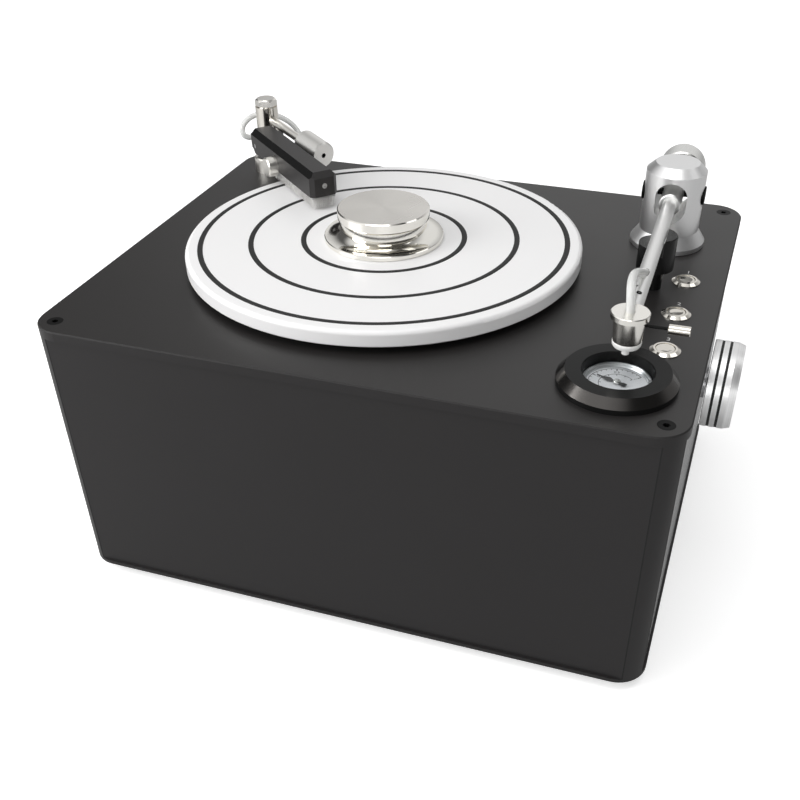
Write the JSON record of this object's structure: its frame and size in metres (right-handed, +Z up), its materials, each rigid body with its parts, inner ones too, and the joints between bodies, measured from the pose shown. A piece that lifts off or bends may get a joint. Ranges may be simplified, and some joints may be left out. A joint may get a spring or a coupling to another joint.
{
  "type": "record cleaning machine",
  "caption": "Flat black case with a driven white platter and clamp, a pivoted suction arm, a swinging brush arm, a vacuum gauge, push buttons and a side knob.",
  "frame": {"origin": "centre of the machine's footprint, side knob included, on the surface that the feet stand on", "axes": "+X to the right side with the knob, -Y to the front panel, +Z up"},
  "size_m": [0.462, 0.356, 0.2771],
  "materials": {
    "case_black": "satin black anodised",
    "deck_black": "matt black anodised",
    "block_black": "satin black anodised",
    "satin_aluminium": "fine turned satin",
    "polished_steel": "polished nickel",
    "clamp_steel": "turned and polished",
    "white_acetal": "smooth white acetal",
    "black_rubber": "matt",
    "clear_hose": "milky silicone",
    "white_tip": "smooth",
    "bristle_white": "fine strands",
    "gauge_glass": "clear",
    "dial_white": "printed",
    "needle_black": "matt black",
    "gauge_case": "zinc plated",
    "plated_steel": "zinc plated",
    "black_screw": "black oxide",
    "motor_grey": "cast housing",
    "bottle_plastic": "translucent",
    "board_green": "circuit board",
    "core_wrap": "taped winding",
    "inlet_black": "moulded",
    "bronze": "bearing bronze"
  },
  "bodies": {
    "case": {"base_plate": "case_black", "rubber_feet": "black_rubber", "corner_posts": "case_black", "front_panel": "case_black", "rear_panel": "case_black", "left_panel": "case_black", "right_panel": "case_black", "top_plate": "deck_black", "case_screws": "black_screw", "deck_nuts": "plated_steel", "platter_bearing": "bronze", "platter_motor": "motor_grey", "motor_bracket": "plated_steel", "arm_foot": "satin_aluminium", "arm_rest": "block_black", "brush_foot": "polished_steel", "fluid_hose": "clear_hose", "hose_grommet": "black_rubber", "gauge_bezel": "block_black", "gauge_can": "gauge_case", "gauge_dial": "dial_white", "gauge_glass": "gauge_glass", "button_bezels": "polished_steel", "suction_valve": "plated_steel", "vacuum_pump": "motor_grey", "waste_bottle": "bottle_plastic", "fluid_bottle": "bottle_plastic", "dosing_pump": "motor_grey", "power_board": "board_green", "power_transformer": "core_wrap", "mains_inlet": "inlet_black", "waste_line": "clear_hose"},
    "turntable": {"platter_spindle": "satin_aluminium", "motor_coupling": "plated_steel", "platter": "white_acetal", "platter_rings": "black_rubber"},
    "clamp": {"record_clamp": "clamp_steel"},
    "arm_swivel": {"arm_pillar": "satin_aluminium", "arm_pivot_screws": "black_screw"},
    "suction_arm": {"arm_hub": "satin_aluminium", "suction_tube": "satin_aluminium", "counterweight": "clamp_steel", "suction_head": "polished_steel", "suction_tip": "white_tip", "finger_lift": "polished_steel", "suction_hose": "clear_hose"},
    "brush_swivel": {"brush_column": "polished_steel", "column_cap": "polished_steel", "brush_bracket": "block_black", "lever_handle": "polished_steel"},
    "brush_head": {"brush_block": "block_black", "block_screws": "plated_steel", "brush_thumb_screw": "polished_steel", "brush_bristles": "bristle_white"},
    "needle": {"gauge_needle": "needle_black"},
    "knob": {"side_knob": "satin_aluminium", "knob_rings": "black_rubber"},
    "power_key": {"power_button": "polished_steel"},
    "dry_key": {"dry_button": "polished_steel"},
    "clean_key": {"clean_button": "polished_steel"}
  },
  "joints": [
    {"name": "platter_spin", "type": "hinge", "parent": "case", "child": "turntable", "pos_m": [-0.038, 0, 0.2137], "axis": [0, 0, 1], "continuous": true},
    {"name": "clamp_lift", "type": "slide", "parent": "turntable", "child": "clamp", "axis": [0, 0, 1], "range_m": [0, 0.06]},
    {"name": "arm_swing", "type": "hinge", "parent": "case", "child": "arm_swivel", "pos_m": [0.1584, 0.0926, 0.2137], "axis": [0, 0, 1], "range_deg": [-48, 0]},
    {"name": "arm_lift", "type": "hinge", "parent": "arm_swivel", "child": "suction_arm", "pos_m": [0.1584, 0.0926, 0.252], "axis": [-0.9999, -0.0123, 0], "range_deg": [0, 12]},
    {"name": "brush_swing", "type": "hinge", "parent": "case", "child": "brush_swivel", "pos_m": [-0.198, 0.1442, 0.2137], "axis": [0, 0, 1], "range_deg": [-47.5, 6], "deforming": ["fluid_hose"]},
    {"name": "brush_lift", "type": "hinge", "parent": "brush_swivel", "child": "brush_head", "pos_m": [-0.18447, 0.1128, 0.2467], "axis": [-0.6758, -0.737, 0], "range_deg": [0, 30]},
    {"name": "needle_turn", "type": "hinge", "parent": "case", "child": "needle", "pos_m": [0.159, -0.1255, 0.2137], "axis": [0, 0, 1], "range_deg": [0, 105]},
    {"name": "knob_turn", "type": "hinge", "parent": "case", "child": "knob", "pos_m": [0.209, -0.03, 0.1687], "axis": [1, 0, 0], "range_deg": [-135, 135]},
    {"name": "power_press", "type": "slide", "parent": "case", "child": "power_key", "axis": [0, 0, -1], "range_m": [0, 0.002], "stiffness_N_per_m": 500, "springref_m": -0.001},
    {"name": "dry_press", "type": "slide", "parent": "case", "child": "dry_key", "axis": [0, 0, -1], "range_m": [0, 0.002], "stiffness_N_per_m": 500, "springref_m": -0.001},
    {"name": "clean_press", "type": "slide", "parent": "case", "child": "clean_key", "axis": [0, 0, -1], "range_m": [0, 0.002], "stiffness_N_per_m": 500, "springref_m": -0.001}
  ]
}
